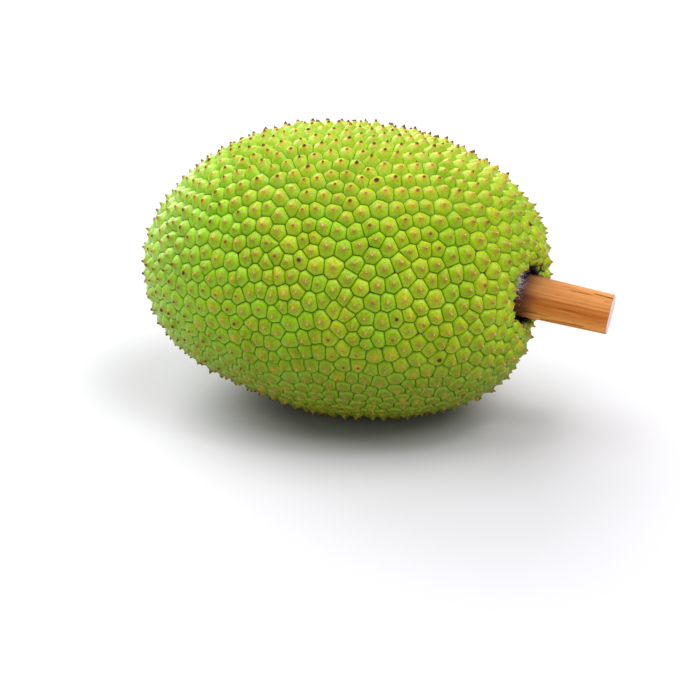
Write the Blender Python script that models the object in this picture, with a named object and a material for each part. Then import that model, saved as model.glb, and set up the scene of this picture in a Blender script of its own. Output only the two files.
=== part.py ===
"""Breadfruit lying on its side: the fruit with its spiny rind, and the cut stem in the hollow at one end.

Run with blender --background --python part.py, or from Blender's text editor.
"""

import math

import bmesh
import bpy
import numpy as np
from mathutils import Matrix, Vector, kdtree

# Lengths are in metres. +X runs along the fruit towards its stem and +Z is up. The origin is
# the middle of the flat spot that the fruit rests on.

# The fruit, measured at the bottom of the grooves between its cells
HALF_LENGTH = 0.0940
HALF_WIDTH = 0.0662
BLOSSOM_END_POWER = 1.95  # 2 draws an ellipse, and more draws a blunter end
STEM_END_POWER = 2.27
PRESSED_DEPTH = 0.0010  # what the resting weight has taken off the underside
FRUIT_CENTRE = np.array([0.0, 0.0, HALF_WIDTH - PRESSED_DEPTH])

# Where the rind swells or, below zero, sinks: the way from the centre, the height, the spread
SWELLINGS = (
    ((-0.56, -0.45, -0.70), -0.0026, 0.026),
    ((-0.87, -0.37, -0.33), 0.0018, 0.022),
    ((-0.92, -0.06, 0.38), -0.0020, 0.028),
    ((0.76, 0.41, 0.50), -0.0014, 0.025),
    ((0.79, -0.07, -0.61), 0.0012, 0.024),
    ((0.96, 0.06, -0.27), -0.0045, 0.016),
    ((0.96, -0.26, -0.10), -0.0018, 0.017),
    ((0.97, -0.23, 0.06), -0.0055, 0.013),
)

# The hollow round the stem
HOLLOW_CENTRE = (0.090, -0.0100, 0.0006)  # from the fruit's centre
HOLLOW_DEPTH = 0.0095
HOLLOW_RADIUS = 0.0140  # where the wall is at half its depth
HOLLOW_STEEPNESS = 6

# The cells of the rind, each a low pyramid that ends in its spine
CELL_COUNT = 1512
CELL_SPREAD = 0.10  # how much the cells differ in size
SMALL_CELL_SHARE = 0.08  # cells that their neighbours have squeezed
SMALL_CELL_SIZE = 0.72
CELL_STRETCH = np.array([1.25, 1.0, 1.0])  # cells are this much wider round the fruit than along it
CELL_SHUFFLE = 0.0005  # how far a cell's middle strays after the packing
CORNER_SHARPNESS = 0.75  # 0 gives cells with rounded outlines, and 1 gives straight sides
FARTHEST_CORNER = 0.0022  # from the middle of its triangle
HOLLOW_CELL_SIZE = 0.66  # of the cells round the hollow, against the others
HOLLOW_CELL_REACH = 0.026
START_JITTER = 0.07  # of a unit direction, so that the spiral they start on doesn't show
RELAX_ROUNDS = 60
RELAX_STEP = 0.35
CLOSEST_PACKING = 1.12  # neighbours nearer than this many of their sizes push each other
NEIGHBOURS = 10
SPINE_REACH = 0.0034  # from the grooves to a spine's tip
SPINE_VARIATION = 0.16
SPINE_LEAN = 0.0005
HOLLOW_SPINE_CUT = 0.55  # the share of its reach that a spine in the hollow lacks
AREA_SAMPLES = 4000
SLOPE_STEP = 0.001  # of a unit direction, between the points that a slope is read from
NEARLY_ALONG_X = 0.8
SEED = 11

# The cut stem
STEM_START = (0.090, -0.0060, -0.0024)  # where it leaves the hollow, from the fruit's centre
STEM_DIRECTION = Vector((0.991, -0.047, -0.118)).normalized()
STEM_LENGTH_OUT = 0.0355  # from its start to the cut end
STEM_LENGTH_IN = 0.0130  # from its start back into the fruit
STEM_END_RADIUS = 0.0093
STEM_TAPER = 0.016  # what the radius gains for each unit of length back from the cut end
STEM_SIDES = 28
STEM_RINGS = 12
STEM_FLUTES = ((2, 0.00025, 0.4), (3, 0.00018, 1.7), (5, 0.00010, 2.9))
STEM_EDGE = 0.0006  # the softened edge of each end
STEM_GAP = 0.0003
STEM_SHARP_ANGLE = math.radians(30)

FRUIT_GREEN = (0.335, 0.520, 0.040, 1.0)
FRUIT_ROUGHNESS = 0.45
STEM_BROWN = (0.520, 0.235, 0.070, 1.0)
STEM_ROUGHNESS = 0.62


def clear_scene():
    for item in list(bpy.data.objects):
        bpy.data.objects.remove(item)


def make_material(name, colour, roughness):
    material = bpy.data.materials.new(name)
    material.use_nodes = True
    shader = material.node_tree.nodes["Principled BSDF"]
    shader.inputs["Base Color"].default_value = colour
    shader.inputs["Roughness"].default_value = roughness
    shader.inputs["Metallic"].default_value = 0.0
    return material


def unit(vectors):
    return vectors / np.linalg.norm(vectors, axis=-1, keepdims=True)


def natural_spread(random, shape):
    """Normally spread values, with the few beyond two deviations drawn in."""
    return random.standard_normal(shape).clip(-2, 2)


def rind_points(directions):
    """The groove-level surface of the fruit along unit directions from its centre."""
    power = np.where(directions[:, 0] < 0, BLOSSOM_END_POWER, STEM_END_POWER)
    along = np.abs(directions[:, 0]) / HALF_LENGTH
    across = np.hypot(directions[:, 1], directions[:, 2]) / HALF_WIDTH
    radius = (along**power + across**power) ** (-1 / power)
    points = directions * radius[:, None]
    for way, height, spread in SWELLINGS:
        peak = unit(np.array(way))
        aside = np.linalg.norm(points - points @ peak[:, None] * peak, axis=1)
        facing = directions @ peak > 0
        radius = radius + np.where(facing, height * np.exp(-((aside / spread) ** 2)), 0)
    radius = radius - HOLLOW_DEPTH * hollow_share(points)
    return directions * radius[:, None]


def hollow_distance(points):
    """How far points are from the line through the hollow's middle, or far off behind the centre."""
    way = unit(np.array(HOLLOW_CENTRE))
    along = points @ way
    aside = np.linalg.norm(points - along[:, None] * way, axis=1)
    return np.where(along > 0, aside, 1.0)


def hollow_share(points):
    """How much of the hollow's depth a point takes, from 0 outside it to 1 in its middle."""
    return 1 / (1 + (hollow_distance(points) / HOLLOW_RADIUS) ** HOLLOW_STEEPNESS)


def rind_normals(directions):
    away_from_x = np.abs(directions[:, :1]) < NEARLY_ALONG_X
    helper = np.where(away_from_x, [[1.0, 0, 0]], [[0, 1.0, 0]])
    first = unit(np.cross(directions, helper))
    second = np.cross(directions, first)
    slopes = []
    for side in (first, second):
        ahead = rind_points(unit(directions + side * SLOPE_STEP))
        behind = rind_points(unit(directions - side * SLOPE_STEP))
        slopes.append(ahead - behind)
    return unit(np.cross(slopes[0], slopes[1]))


def scattered_directions(count):
    """Directions spread evenly round a ball."""
    return spiral_directions(1 - (2 * np.arange(count) + 1) / count)


def spiral_directions(height):
    """Directions along a spiral round a ball, given how far along X each one lies."""
    turn = np.arange(len(height)) * math.pi * (3 - math.sqrt(5))
    ring = np.sqrt(1 - height**2)
    return np.stack([height, ring * np.cos(turn), ring * np.sin(turn)], axis=1)


def cell_sizes(random):
    """Each cell's own size against the usual one: mostly alike, with some squeezed ones."""
    sizes = 1 + CELL_SPREAD * natural_spread(random, CELL_COUNT)
    small = random.random(CELL_COUNT) < SMALL_CELL_SHARE
    return np.where(small, SMALL_CELL_SIZE, sizes)


def usual_sizes(points):
    """How large a cell usually is at each point, against those far from the stem."""
    near = np.exp(-((hollow_distance(points) / HOLLOW_CELL_REACH) ** 2))
    return 1 - (1 - HOLLOW_CELL_SIZE) * near


def place_cells(random):
    """Directions of the cells' middles, pushed apart on the rind until they pack closely.

    They start along a spiral, as crowded in each place as they will be in the end.
    """
    samples = scattered_directions(AREA_SAMPLES)
    areas = rind_areas(samples)
    crowding = np.cumsum(areas / usual_sizes(rind_points(samples)) ** 2)
    rank = (np.arange(CELL_COUNT) + 0.5) / CELL_COUNT
    start = spiral_directions(np.interp(rank, crowding / crowding[-1], samples[:, 0]))
    directions = unit(start + START_JITTER * random.standard_normal((CELL_COUNT, 3)))
    own_size = cell_sizes(random)
    for _ in range(RELAX_ROUNDS):
        points = rind_points(directions)
        size = own_size * usual_sizes(points)
        size = size * math.sqrt(areas.sum() / (2 * math.sqrt(3)) / np.sum(size**2))
        stretched = points * CELL_STRETCH
        others, gaps = nearest(stretched)
        wanted = size[:, None] + size[others]
        push = (CLOSEST_PACKING - gaps / wanted).clip(0, None) * size[:, None] * RELAX_STEP
        away = (stretched[:, None] - stretched[others]) / gaps[..., None] / CELL_STRETCH
        directions = unit(points + (away * push[..., None]).sum(axis=1))
    stray = CELL_SHUFFLE * natural_spread(random, (CELL_COUNT, 3))
    return unit(rind_points(directions) + stray)


def nearest(points):
    """The numbers of each point's closest neighbours, and how far off they are."""
    tree = kdtree.KDTree(len(points))
    for number, point in enumerate(points):
        tree.insert(point, number)
    tree.balance()
    found = [tree.find_n(point, NEIGHBOURS + 1)[1:] for point in points]
    others = np.array([[item[1] for item in row] for row in found])
    gaps = np.array([[item[2] for item in row] for row in found])
    return others, gaps


def rind_areas(directions):
    """How much of the stretched rind each of these even directions stands for."""
    radius = np.linalg.norm(rind_points(directions), axis=1)
    normals = rind_normals(directions)
    facing = (directions * normals).sum(axis=1)
    stretch = np.linalg.norm(normals / CELL_STRETCH, axis=1) * CELL_STRETCH.prod()
    return 4 * math.pi / len(directions) * radius**2 / facing * stretch


def cell_corners(middles, triangles):
    """Where three cells meet, between the middle of their triangle and the point as far from all three."""
    first, second, third = rind_points(middles)[triangles].transpose(1, 0, 2)
    centre = (first + second + third) / 3
    side, other = second - first, third - first
    across = np.cross(side, other)
    lengths = [(edge * edge).sum(axis=1, keepdims=True) for edge in (side, other, across)]
    offset = np.cross(across, side) * lengths[1] + np.cross(other, across) * lengths[0]
    away = first + offset / (2 * lengths[2]) - centre
    reach = np.linalg.norm(away, axis=1, keepdims=True)
    away = away * np.minimum(1, FARTHEST_CORNER / reach)
    return unit(centre + CORNER_SHARPNESS * away)


def linked_cells(directions):
    """The triangles that join neighbouring cells, and for each cell those round it in order."""
    mesh = bmesh.new()
    for direction in directions:
        mesh.verts.new(direction)
    bmesh.ops.convex_hull(mesh, input=mesh.verts)
    mesh.verts.ensure_lookup_table()
    for vertex, point in zip(mesh.verts, rind_points(directions)):
        vertex.co = point
    bmesh.ops.beautify_fill(mesh, faces=mesh.faces[:], edges=mesh.edges[:], method="ANGLE")
    bmesh.ops.recalc_face_normals(mesh, faces=mesh.faces)
    mesh.faces.index_update()
    mesh.verts.index_update()
    triangles = [[vertex.index for vertex in face.verts] for face in mesh.faces]
    rounds = [faces_round(vertex) for vertex in mesh.verts]
    mesh.free()
    return np.array(triangles), rounds


def faces_round(vertex):
    start = vertex.link_loops[0]
    loop = start
    order = []
    while True:
        order.append(loop.face.index)
        loop = loop.link_loop_prev.link_loop_radial_next
        if loop == start:
            return order


def press_flat(points):
    """The points from the floor up: what would be below the floor is pressed to it."""
    raised = points + FRUIT_CENTRE
    raised[:, 2] = raised[:, 2].clip(0, None)
    return raised


def spine_tips(directions, random):
    points = rind_points(directions)
    reach = SPINE_REACH * (1 + SPINE_VARIATION * natural_spread(random, len(points)))
    reach = reach * (1 - HOLLOW_SPINE_CUT * hollow_share(points))
    lean = SPINE_LEAN * random.standard_normal(points.shape)
    return points + rind_normals(directions) * reach[:, None] + lean


def make_fruit():
    random = np.random.default_rng(SEED)
    middles = place_cells(random)
    triangles, rounds = linked_cells(middles)
    corners = cell_corners(middles, triangles)
    tips = press_flat(spine_tips(middles, random))
    edges = press_flat(rind_points(corners))
    mesh = bmesh.new()
    tip_vertices = [mesh.verts.new(tip) for tip in tips]
    edge_vertices = [mesh.verts.new(edge) for edge in edges]
    for tip, order in zip(tip_vertices, rounds):
        for here, after in zip(order, order[1:] + order[:1]):
            mesh.faces.new((tip, edge_vertices[here], edge_vertices[after]))
    bmesh.ops.recalc_face_normals(mesh, faces=mesh.faces)
    return finish_object(mesh, "fruit", make_material("breadfruit_rind", FRUIT_GREEN, FRUIT_ROUGHNESS))


def finish_object(mesh, name, material):
    data = bpy.data.meshes.new(name)
    mesh.to_mesh(data)
    mesh.free()
    data.materials.append(material)
    item = bpy.data.objects.new(name, data)
    bpy.context.scene.collection.objects.link(item)
    return item


def stem_radius(along, angle):
    """The stem's radius at a distance from its start, thicker towards its foot and gently fluted."""
    radius = STEM_END_RADIUS + STEM_TAPER * (STEM_LENGTH_OUT - along)
    for waves, height, turn in STEM_FLUTES:
        radius += height * math.cos(waves * angle + turn)
    return radius


def stem_mesh(grown):
    """The stem along its own X from its start, made larger all round by grown."""
    low = -STEM_LENGTH_IN - grown
    high = STEM_LENGTH_OUT + grown
    middle = np.linspace(low + STEM_EDGE, high - STEM_EDGE, STEM_RINGS + 1)
    stations = [low, *middle, high]
    mesh = bmesh.new()
    rings = []
    for along in stations:
        inset = STEM_EDGE if along in (low, high) else 0.0
        ring = []
        for side in range(STEM_SIDES):
            angle = 2 * math.pi * side / STEM_SIDES
            radius = stem_radius(along, angle) + grown - inset
            ring.append(mesh.verts.new((along, radius * math.cos(angle), radius * math.sin(angle))))
        rings.append(ring)
    for ring, following in zip(rings, rings[1:]):
        for side in range(STEM_SIDES):
            after = (side + 1) % STEM_SIDES
            mesh.faces.new((ring[side], ring[after], following[after], following[side]))
    mesh.faces.new(rings[0][::-1])
    mesh.faces.new(rings[-1])
    bmesh.ops.recalc_face_normals(mesh, faces=mesh.faces)
    return mesh


def lay_along_stem(item):
    origin = Vector(FRUIT_CENTRE) + Vector(STEM_START)
    turn = STEM_DIRECTION.to_track_quat("X", "Z").to_matrix().to_4x4()
    item.matrix_world = Matrix.Translation(origin) @ turn


def make_stem():
    material = make_material("stem_wood", STEM_BROWN, STEM_ROUGHNESS)
    stem = finish_object(stem_mesh(0.0), "stem", material)
    lay_along_stem(stem)
    stem.data.shade_smooth()
    stem.data.set_sharp_from_angle(angle=STEM_SHARP_ANGLE)
    return stem


def seat_stem(fruit):
    """Opens the fruit where the stem grows into it, a narrow gap larger than the stem."""
    cutter = finish_object(stem_mesh(STEM_GAP), "stem_seat_cutter", fruit.data.materials[0])
    lay_along_stem(cutter)
    cutter.hide_render = True
    cutter.display_type = "WIRE"
    cut = fruit.modifiers.new("stem_seat", "BOOLEAN")
    cut.operation = "DIFFERENCE"
    cut.object = cutter


def main():
    clear_scene()
    fruit = make_fruit()
    make_stem()
    seat_stem(fruit)


main()
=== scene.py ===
"""Looks of the breadfruit: the rind of spiny cells, the cut stem, the dark wool round its foot, a studio.

It is laid out as an add-on and run as a script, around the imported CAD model. Lengths are in metres, +X runs
along the fruit towards its stem, +Z is up, and the fruit rests on the floor at the origin.
"""

import math

import bmesh
import bpy
import numpy as np
from bpy.props import FloatProperty, FloatVectorProperty, IntProperty, PointerProperty
from mathutils import Color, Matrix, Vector, kdtree


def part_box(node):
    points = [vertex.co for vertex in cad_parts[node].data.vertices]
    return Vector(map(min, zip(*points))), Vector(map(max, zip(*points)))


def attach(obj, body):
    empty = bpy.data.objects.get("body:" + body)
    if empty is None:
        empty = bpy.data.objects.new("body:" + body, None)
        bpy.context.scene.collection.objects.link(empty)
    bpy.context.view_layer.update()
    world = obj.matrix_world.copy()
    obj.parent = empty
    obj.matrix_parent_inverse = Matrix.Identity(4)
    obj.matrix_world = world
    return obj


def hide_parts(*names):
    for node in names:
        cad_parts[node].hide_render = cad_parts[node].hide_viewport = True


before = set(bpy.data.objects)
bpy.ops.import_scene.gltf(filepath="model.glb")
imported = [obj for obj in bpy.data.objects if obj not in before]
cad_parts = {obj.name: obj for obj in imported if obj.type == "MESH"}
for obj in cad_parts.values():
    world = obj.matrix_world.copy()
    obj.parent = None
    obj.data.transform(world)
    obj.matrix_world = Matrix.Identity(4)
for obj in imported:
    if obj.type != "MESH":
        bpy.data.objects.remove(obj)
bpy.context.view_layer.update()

bl_info = {
    "name": "Breadfruit",
    "version": (1, 0, 0),
    "blender": (4, 5, 0),
    "location": "3D View > Sidebar > Breadfruit",
    "description": "Models a whole breadfruit with its spiny rind and its cut stem",
    "category": "Object",
}

MM = 0.001

# The fruit at the bottom of its grooves, as the CAD has it
HALF_LENGTH = 94.0 * MM
HALF_WIDTH = 66.2 * MM
BLOSSOM_END_POWER = 1.95  # 2 draws an ellipse, and more draws a blunter end
STEM_END_POWER = 2.27
PRESSED_DEPTH = 1.0 * MM
FRUIT_CENTRE = np.array([0.0, 0.0, HALF_WIDTH - PRESSED_DEPTH])
SWELLINGS = (  # the way from the centre, the height, which is below zero for a dent, and the spread
    ((-0.56, -0.45, -0.70), -2.6 * MM, 26 * MM),
    ((-0.87, -0.37, -0.33), 1.8 * MM, 22 * MM),
    ((-0.92, -0.06, 0.38), -2.0 * MM, 28 * MM),
    ((0.76, 0.41, 0.50), -1.4 * MM, 25 * MM),
    ((0.79, -0.07, -0.61), 1.2 * MM, 24 * MM),
    ((0.96, 0.06, -0.27), -4.5 * MM, 16 * MM),
    ((0.96, -0.26, -0.10), -1.8 * MM, 17 * MM),
    ((0.97, -0.23, 0.06), -5.5 * MM, 13 * MM),
)
HOLLOW_CENTRE = (90 * MM, -10.0 * MM, 0.6 * MM)  # from the fruit's centre
HOLLOW_DEPTH = 9.5 * MM
HOLLOW_RADIUS = 14.0 * MM  # where the wall is at half its depth
HOLLOW_STEEPNESS = 6

# How the cells are laid out, as the CAD has them
CELL_SPREAD = 0.10  # how much the cells differ in size
SMALL_CELL_SHARE = 0.08  # cells that their neighbours have squeezed
SMALL_CELL_SIZE = 0.72
CELL_STRETCH = np.array([1.25, 1.0, 1.0])  # cells are this much wider round the fruit than along it
CELL_SHUFFLE = 0.5 * MM  # how far a cell's middle strays after the packing
CORNER_SHARPNESS = 0.75  # 0 gives cells with rounded outlines, and 1 gives straight sides
HOLLOW_CELL_SIZE = 0.66  # of the cells round the hollow, against the others
HOLLOW_CELL_REACH = 26 * MM
START_JITTER = 0.07  # of a unit direction, so that the spiral they start on doesn't show
RELAX_ROUNDS = 60
RELAX_STEP = 0.35
CLOSEST_PACKING = 1.12  # neighbours nearer than this many of their sizes push each other
NEIGHBOURS = 10
AREA_SAMPLES = 4000
SLOPE_STEP = 0.001  # of a unit direction, between the points that a slope is read from
FARTHEST_CORNER = 2.2 * MM  # from the middle of its triangle
NEARLY_ALONG_X = 0.8

# The stem, as the CAD has it
STEM_START = (90 * MM, -6.0 * MM, -2.4 * MM)  # from the fruit's centre
STEM_DIRECTION = Vector((0.991, -0.047, -0.118)).normalized()
STEM_LENGTH_OUT = 35.5 * MM
STEM_LENGTH_IN = 13.0 * MM
STEM_TAPER = 0.016  # what the radius gains for each unit of length back from the cut end
STEM_FLUTES = ((2, 0.25 * MM, 0.4), (3, 0.18 * MM, 1.7), (5, 0.10 * MM, 2.9))  # waves, height, turn


def linear(code):
    """A colour written as sRGB hex, as the linear values that Blender's sockets hold."""
    parts = [int(code[place : place + 2], 16) / 255 for place in (1, 3, 5)]
    return tuple(part / 12.92 if part <= 0.04045 else ((part + 0.055) / 1.055) ** 2.4 for part in parts)


def colour_property(name, description, code):
    return FloatVectorProperty(
        name=name, description=description, default=linear(code), subtype="COLOR", min=0, max=1
    )


class RindSettings(bpy.types.PropertyGroup):
    cell_count: IntProperty(name="Cells", description="How many cells cover the fruit", default=1512, min=60)
    seed: IntProperty(name="Seed", description="Another number gives another fruit", default=11)
    dome_height: FloatProperty(
        name="Dome height",
        description="From the grooves to the top of a cell, without its spine",
        default=1.8 * MM,
        unit="LENGTH",
    )
    spine_height: FloatProperty(
        name="Spine height", description="From a cell's top to its tip", default=1.65 * MM, unit="LENGTH"
    )
    spine_radius: FloatProperty(
        name="Spine radius", description="Where the spine leaves the cell", default=0.88 * MM, unit="LENGTH"
    )
    groove_width: FloatProperty(
        name="Groove width", description="From one cell's edge to the next", default=0.68 * MM, unit="LENGTH"
    )
    skin: colour_property("Skin", "The cells' main colour", "#8BB200")
    skin_yellow: colour_property("Yellower skin", "Where the skin is riper", "#ACC406")
    # Greener towards the blossom end, and made lighter there: partly painted light on that side
    greener_skin_and_painted_light: colour_property("Deeper skin", "Where the skin is greener", "#86C800")
    # Painted shade: the underside darkens towards this colour; the skin's own darker flecks use it too
    skin_dark_and_painted_shade: colour_property("Shaded skin", "The duller skin underneath", "#465C00")
    # Pale wax towards the blossom end, partly painted sheen there; over the top it is painted sheen
    wax_bloom_and_painted_sheen: colour_property("Bloom", "The pale wax towards the blossom end", "#B0D888")
    # The groove's own darker green, and painted shade in the crease
    groove: colour_property("Groove", "The bottom of the grooves", "#456A00")
    # The paler edge of each cell, partly painted sheen; the pale flecks use it too
    rim: colour_property("Rim", "The raised edge of each cell", "#B0D028")
    halo: colour_property("Halo", "The skin round each spine", "#98901E")
    # Lighter and yellower halo: on some cells by chance, and over the whole top as painted light
    halo_ripe: colour_property("Riper halo", "The same where the skin is riper", "#CEAC2C")
    spine_young: colour_property("Young spine", "The tips of the freshest spines", "#BC8C38")
    spine_brown: colour_property("Brown spine", "The tips of most spines", "#74420E")
    spine_dead: colour_property("Dead spine", "The tips of withered spines", "#2C1E0C")
    # The pale end of the younger spines: partly a corky end, partly a painted glint
    spine_end_and_painted_glint: colour_property("Spine end", "The corky end of each spine", "#EADC9C")
    scab: colour_property("Scab", "Scabs and pits in the grooves", "#3A2418")
    # Nearly black: partly dark dried tissue, partly painted shade deep in the hollow and painted shadow
    # beside the stem
    hollow: colour_property("Hollow", "The dark skin deep in the hollow", "#140E1A")


class StemSettings(bpy.types.PropertyGroup):
    end_radius: FloatProperty(name="Radius", description="At the cut end", default=9.3 * MM, unit="LENGTH")
    ridge_height: FloatProperty(
        name="Ridge height", description="Of the long ridges in the wood", default=0.16 * MM, unit="LENGTH"
    )
    wood: colour_property("Wood", "The bare wood", "#BC6820")
    # Paler and greyer on the upper side of the stem
    wood_upper_side: colour_property("Weathered wood", "The upper side of the stem", "#C8884A")
    # Painted light: the stem's underside made lighter, as if lit from below
    wood_painted_underside_light: colour_property("Fresh wood", "The underside of the stem", "#FFAA50")
    wood_pale: colour_property("Pale fibres", "The paler fibres", "#DC9446")
    wood_dark: colour_property("Dark fibres", "The darker fibres", "#7A400F")
    split: colour_property("Split", "The bottom of the splits", "#6E3A18")
    # Dark wood at the stem's foot by the fruit: partly a stain, partly painted shade
    foot: colour_property("Foot", "The stained wood by the fruit", "#503028")
    cut: colour_property("Cut", "The face that was sawn", "#E4D6DC")
    cut_fibres: colour_property("Cut fibres", "The fibres' ends on that face", "#C9A98E")


class WoolSettings(bpy.types.PropertyGroup):
    fibre_count: IntProperty(name="Fibres", description="How many fibres there are", default=850, min=1)
    length: FloatProperty(name="Length", description="Of a usual fibre", default=2.6 * MM, unit="LENGTH")
    thickness: FloatProperty(name="Thickness", description="Of a fibre", default=0.16 * MM, unit="LENGTH")
    # The darker fibres towards the back: partly painted shade in the hollow
    dark: colour_property("Dark fibres", "The lower fibres", "#201A2E")
    pale: colour_property("Pale fibres", "The fibres' ends", "#B8ACD0")


class StageSettings(bpy.types.PropertyGroup):
    floor_size: FloatProperty(name="Floor", description="The length of a side", default=8.0, unit="LENGTH")
    floor: colour_property("Floor", "The pale floor", "#C5C4C8")
    azimuth: FloatProperty(
        name="Azimuth", description="Round from the fruit's side", default=math.radians(13.8), unit="ROTATION"
    )
    elevation: FloatProperty(
        name="Elevation", description="Above the horizon", default=math.radians(23.0), unit="ROTATION"
    )
    distance: FloatProperty(
        name="Distance", description="From the fruit's centre", default=0.85, unit="LENGTH"
    )
    lens: FloatProperty(name="Lens", description="Focal length", default=94.0, unit="CAMERA")
    sky: FloatProperty(name="Surroundings", description="Strength of the light from all round", default=0.34)
    key: FloatProperty(name="Key lights", description="Strength of each light above", default=2.08)
    back: FloatProperty(name="Back light", description="Strength of the light behind", default=2.9)
    glint: FloatProperty(name="Glint", description="Strength of the small bright light", default=0.35)


# Where the camera points, from the world's origin: under the fruit, which leaves floor below it
CAMERA_AIM = Vector((6.5, -14.3, 30.9)) * MM
CAMERA_SENSOR = 36.0

# A cell's rings from its groove to its spine. Each ring is set in from the groove by `inset` groove widths,
# then drawn by `roundness` towards a circle: of `radius` times the spine's, or as wide as the ring is on the
# whole. Its height takes a share of the dome and a share of the spine, and `lean` is its share of the cell's
# own lean. `rise` tells the material how far up the cell it is: 0 is the groove, and 1 is the tip.
RINGS = (
    {"inset": 0.5, "radius": None, "roundness": 0.15, "dome": 0.42, "spine": 0.0, "lean": 0.0, "rise": 0.18},
    {"inset": 1.5, "radius": None, "roundness": 0.40, "dome": 0.77, "spine": 0.0, "lean": 0.03, "rise": 0.34},
    {"inset": 1.5, "radius": 2.4, "roundness": 0.70, "dome": 0.94, "spine": 0.04, "lean": 0.12, "rise": 0.56},
    {"inset": 1.5, "radius": 1.1, "roundness": 0.95, "dome": 1.0, "spine": 0.20, "lean": 0.35, "rise": 0.76},
    {"inset": 1.5, "radius": 0.5, "roundness": 1.0, "dome": 1.0, "spine": 0.68, "lean": 0.75, "rise": 0.90},
)
INSET_STEP = 0.01 * MM
CORNER_INSET = 1.6  # a corner of a cell is set in this much more than its sides, which rounds it
USUAL_CELL_RADIUS = 4.0 * MM
MOST_OF_CELL = 0.78  # of a cell's reach, at most, goes to the foot of its spine

# Parts of the rind: where each starts and where it is full. `along` is X in half lengths of the fruit,
# `across` and `up` are Y and Z in half widths, and `hollow` is the distance from the hollow's middle. A part
# with two lines is where both hold.
ZONES = {
    "forward": (("along", 30 * MM / HALF_LENGTH, 88 * MM / HALF_LENGTH),),
    "backward": (("along", -0.15, -0.75),),
    "blossom_end": (("along", -0.42, -1.05),),
    "high": (("up", 0.6, 1.05),),
    # the top of the fruit: painted light, with lighter halos and pale painted sheen
    "top_ripeness_and_painted_light": (("up", 0.5, 0.95),),
    "exposed": (("up", 0.1, 0.8),),
    "low": (("up", -0.1, -0.7),),
    # painted shade: the underside darkens downwards
    "shaded": (("up", 0.1, -0.8),),
    "far_side": (("across", 0.0, 0.35), ("up", 0.1, 0.5)),
    "above_stem": (
        ("hollow", 26 * MM, 11.5 * MM),
        ("up", -20 * MM / HALF_WIDTH, 8 * MM / HALF_WIDTH),
    ),
    "by_stem": (("hollow", 26 * MM, 11.5 * MM),),
    # grooves that darken round the hollow: partly dark tissue, partly painted shade
    "darkened": (("hollow", 23 * MM, HOLLOW_RADIUS),),
    "rim": (("hollow", 15.5 * MM, 11.5 * MM),),
    # painted shade deep in the hollow, partly dark dried tissue
    "deep": (("hollow", 15.5 * MM, 13.5 * MM),),
}

# What each part adds to its cells: to their age, which goes from 0 to 1, and to their sizes as shares
ZONE_EFFECTS = {
    "high": {"age": 0.38, "spine": 0.05},
    "backward": {"age": 0.28, "dome": -0.12, "spine": -0.05},
    "forward": {"age": -0.06, "dome": 0.1, "spine": 0.1, "girth": 0.1},
    "exposed": {"dome": 0.08, "girth": 0.08},
    "above_stem": {"age": 0.4},
    "low": {"age": 0.12},
    "far_side": {"age": 0.3},
}
USUAL_AGE = 0.17
AGE_SPREAD = 0.14
OLDEST = 0.8
DEAD_SHARE = 0.012  # of the spines are as withered as the oldest
CELL_VARIATION = {"dome": 0.12, "spine": 0.22, "girth": 0.16}
LOST_IN_HOLLOW = {"dome": 0.85, "spine": 0.9, "girth": 0.0}
OWN_LEAN = 0.3 * MM  # the way that a spine leans by chance
LEAN_TO_STEM = 0.2 * MM
FORWARD_LEAN = 1.3 * MM  # more of that lean in the forward zone
LEAN_LOST_BY_STEM = 0.4
LEAN_LOST_ON_RIM = 0.6
DEEPER_GROOVES = 0.5 * MM  # how much deeper the grooves are where the fruit is exposed
CUSHION = 0.4  # of a cell's height is left where the floor presses it flat
RIPER_TO_STEM = 0.16  # how much yellower the skin grows to the stem's end, to the blossom end and upwards
RIPER_TO_BLOSSOM = 0.45
RIPER_UP = 0.10
# Painted sheen: how much of the pale bloom colour lies over the top of the fruit
TOP_PAINTED_SHEEN = 0.25
PIT_SHARE = 0.03  # of the grooves' corners are pitted, with more round the hollow
PITS_BY_HOLLOW = 0.35
PIT_REACH = 26 * MM
STEM_SHADOW = (13.5 * MM, 11.0 * MM)  # from the stem's middle, where the painted shadow of the stem on the rind starts and is full
STEM_SHADOW_STRENGTH = 0.9


def unit(vectors):
    return vectors / np.linalg.norm(vectors, axis=-1, keepdims=True)


def natural_spread(random, shape):
    """Normally spread values, with the few beyond two deviations drawn in."""
    return random.standard_normal(shape).clip(-2, 2)


def smooth_step(low, high, values):
    share = ((values - low) / (high - low)).clip(0, 1)
    return share * share * (3 - 2 * share)


# The fruit's shape and the layout of its cells, by the same rules as the CAD


def rind_points(directions):
    """The groove-level surface of the fruit along unit directions from its centre."""
    power = np.where(directions[:, 0] < 0, BLOSSOM_END_POWER, STEM_END_POWER)
    along = np.abs(directions[:, 0]) / HALF_LENGTH
    across = np.hypot(directions[:, 1], directions[:, 2]) / HALF_WIDTH
    radius = (along**power + across**power) ** (-1 / power)
    points = directions * radius[:, None]
    for way, height, spread in SWELLINGS:
        peak = unit(np.array(way))
        aside = np.linalg.norm(points - points @ peak[:, None] * peak, axis=1)
        facing = directions @ peak > 0
        radius = radius + np.where(facing, height * np.exp(-((aside / spread) ** 2)), 0)
    radius = radius - HOLLOW_DEPTH * hollow_share(points)
    return directions * radius[:, None]


def hollow_distance(points):
    """How far points are from the line through the hollow's middle, or far off behind the centre."""
    way = unit(np.array(HOLLOW_CENTRE))
    along = points @ way
    aside = np.linalg.norm(points - along[:, None] * way, axis=1)
    return np.where(along > 0, aside, 1.0)


def stem_distance(points):
    """How far points are from the line through the stem's middle."""
    along = (points - np.array(STEM_START)) @ np.array(STEM_DIRECTION)
    return np.linalg.norm(points - np.array(STEM_START) - along[:, None] * np.array(STEM_DIRECTION), axis=1)


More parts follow.
